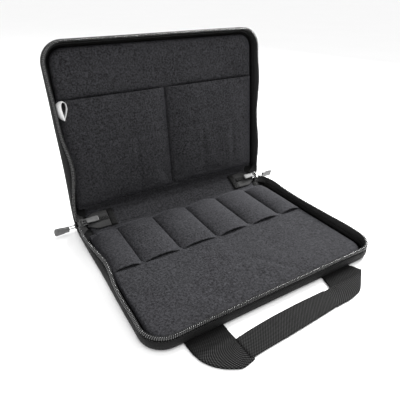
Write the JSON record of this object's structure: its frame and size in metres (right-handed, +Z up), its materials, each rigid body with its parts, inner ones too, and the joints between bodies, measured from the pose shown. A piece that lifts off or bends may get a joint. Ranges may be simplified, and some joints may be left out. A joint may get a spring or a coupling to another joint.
{
  "type": "soft carry case",
  "caption": "Soft zipped clamshell carry case, shown open, with padded base and lid, sewn pockets, a folding spine and a webbing handle.",
  "frame": {"origin": "on the ground under the base, midway across the width, below the hinge-side edge of the base rim", "axes": "+X along the hinge to the right as seen from the front, +Y from the front edge towards the hinge and spine, +Z up"},
  "size_m": [0.4036, 0.3533, 0.2634],
  "materials": {
    "cover": "woven nylon, satin",
    "velour": "short loop velour, matt",
    "webbing": "ribbed nylon webbing",
    "tape": "herringbone zip tape",
    "coil": "polished nylon coil",
    "tail": "ribbed zip tape",
    "board": "greyboard",
    "foam": "closed-cell foam",
    "slider_metal": "black nickel",
    "wire": "polished wire",
    "pull": "moulded soft plastic",
    "label": "blank satin ribbon"
  },
  "bodies": {
    "base": {"base_shell": "cover", "base_board": "board", "base_foam": "foam", "base_lining": "velour", "base_front_panel": "velour", "base_pocket_1": "velour", "base_pocket_2": "velour", "base_pocket_3": "velour", "base_pocket_4": "velour", "base_pocket_5": "velour", "base_pocket_6": "velour", "base_zip_tape": "tape", "base_zip_coil": "coil", "handle_anchor_left": "webbing", "handle_anchor_right": "webbing"},
    "spine": {"spine_cover": "cover", "spine_board": "board", "spine_lining": "velour", "zip_tail_left": "tail", "zip_tail_right": "tail", "tail_end_left": "cover", "tail_end_right": "cover"},
    "lid": {"lid_shell": "cover", "lid_board": "board", "lid_foam": "foam", "lid_lining": "velour", "lid_pocket_left": "velour", "lid_pocket_right": "velour", "lid_zip_tape": "tape", "lid_zip_coil": "coil", "label_loop": "label"},
    "left_slider": {"slider_left": "slider_metal"},
    "right_slider": {"slider_right": "slider_metal"},
    "left_outer_pull": {"outer_link_left": "wire", "outer_tab_left": "pull"},
    "left_inner_pull": {"inner_link_left": "wire", "inner_tab_left": "pull"},
    "right_outer_pull": {"outer_link_right": "wire", "outer_tab_right": "pull"},
    "right_inner_pull": {"inner_link_right": "wire", "inner_tab_right": "pull"},
    "handle": {"handle_leg_left": "webbing", "handle_leg_right": "webbing", "handle_grip": "webbing"}
  },
  "joints": [
    {"name": "spine_fold", "type": "hinge", "parent": "base", "child": "spine", "pos_m": [0, 0.008, 0.0012], "axis": [1, 0, 0], "range_deg": [-30, 60]},
    {"name": "lid_fold", "type": "hinge", "parent": "spine", "child": "lid", "pos_m": [0, 0.04143, 0.0205], "axis": [1, 0, 0], "range_deg": [-54.5, 35.5]},
    {"name": "left_slider_run", "type": "slide", "parent": "spine", "child": "left_slider", "axis": [1, 0, 0], "range_m": [0, 0.011]},
    {"name": "right_slider_run", "type": "slide", "parent": "spine", "child": "right_slider", "axis": [-1, 0, 0], "range_m": [0, 0.011]},
    {"name": "left_outer_pull_swing", "type": "hinge", "parent": "left_slider", "child": "left_outer_pull", "pos_m": [-0.1678, 0.02271, 0.01431], "axis": [0, 0.866, 0.5], "range_deg": [-10, 10]},
    {"name": "left_inner_pull_swing", "type": "hinge", "parent": "left_slider", "child": "left_inner_pull", "pos_m": [-0.159, 0.01951, 0.01986], "axis": [0, -0.866, -0.5], "range_deg": [0, 90]},
    {"name": "right_outer_pull_swing", "type": "hinge", "parent": "right_slider", "child": "right_outer_pull", "pos_m": [0.1678, 0.02271, 0.01431], "axis": [0, -0.866, -0.5], "range_deg": [-10, 10]},
    {"name": "right_inner_pull_swing", "type": "hinge", "parent": "right_slider", "child": "right_inner_pull", "pos_m": [0.159, 0.01951, 0.01986], "axis": [0, 0.866, 0.5], "range_deg": [0, 90]},
    {"name": "handle_swing", "type": "hinge", "parent": "base", "child": "handle", "pos_m": [0, -0.2374, 0.0011], "axis": [-1, 0, 0], "range_deg": [0, 90]}
  ]
}
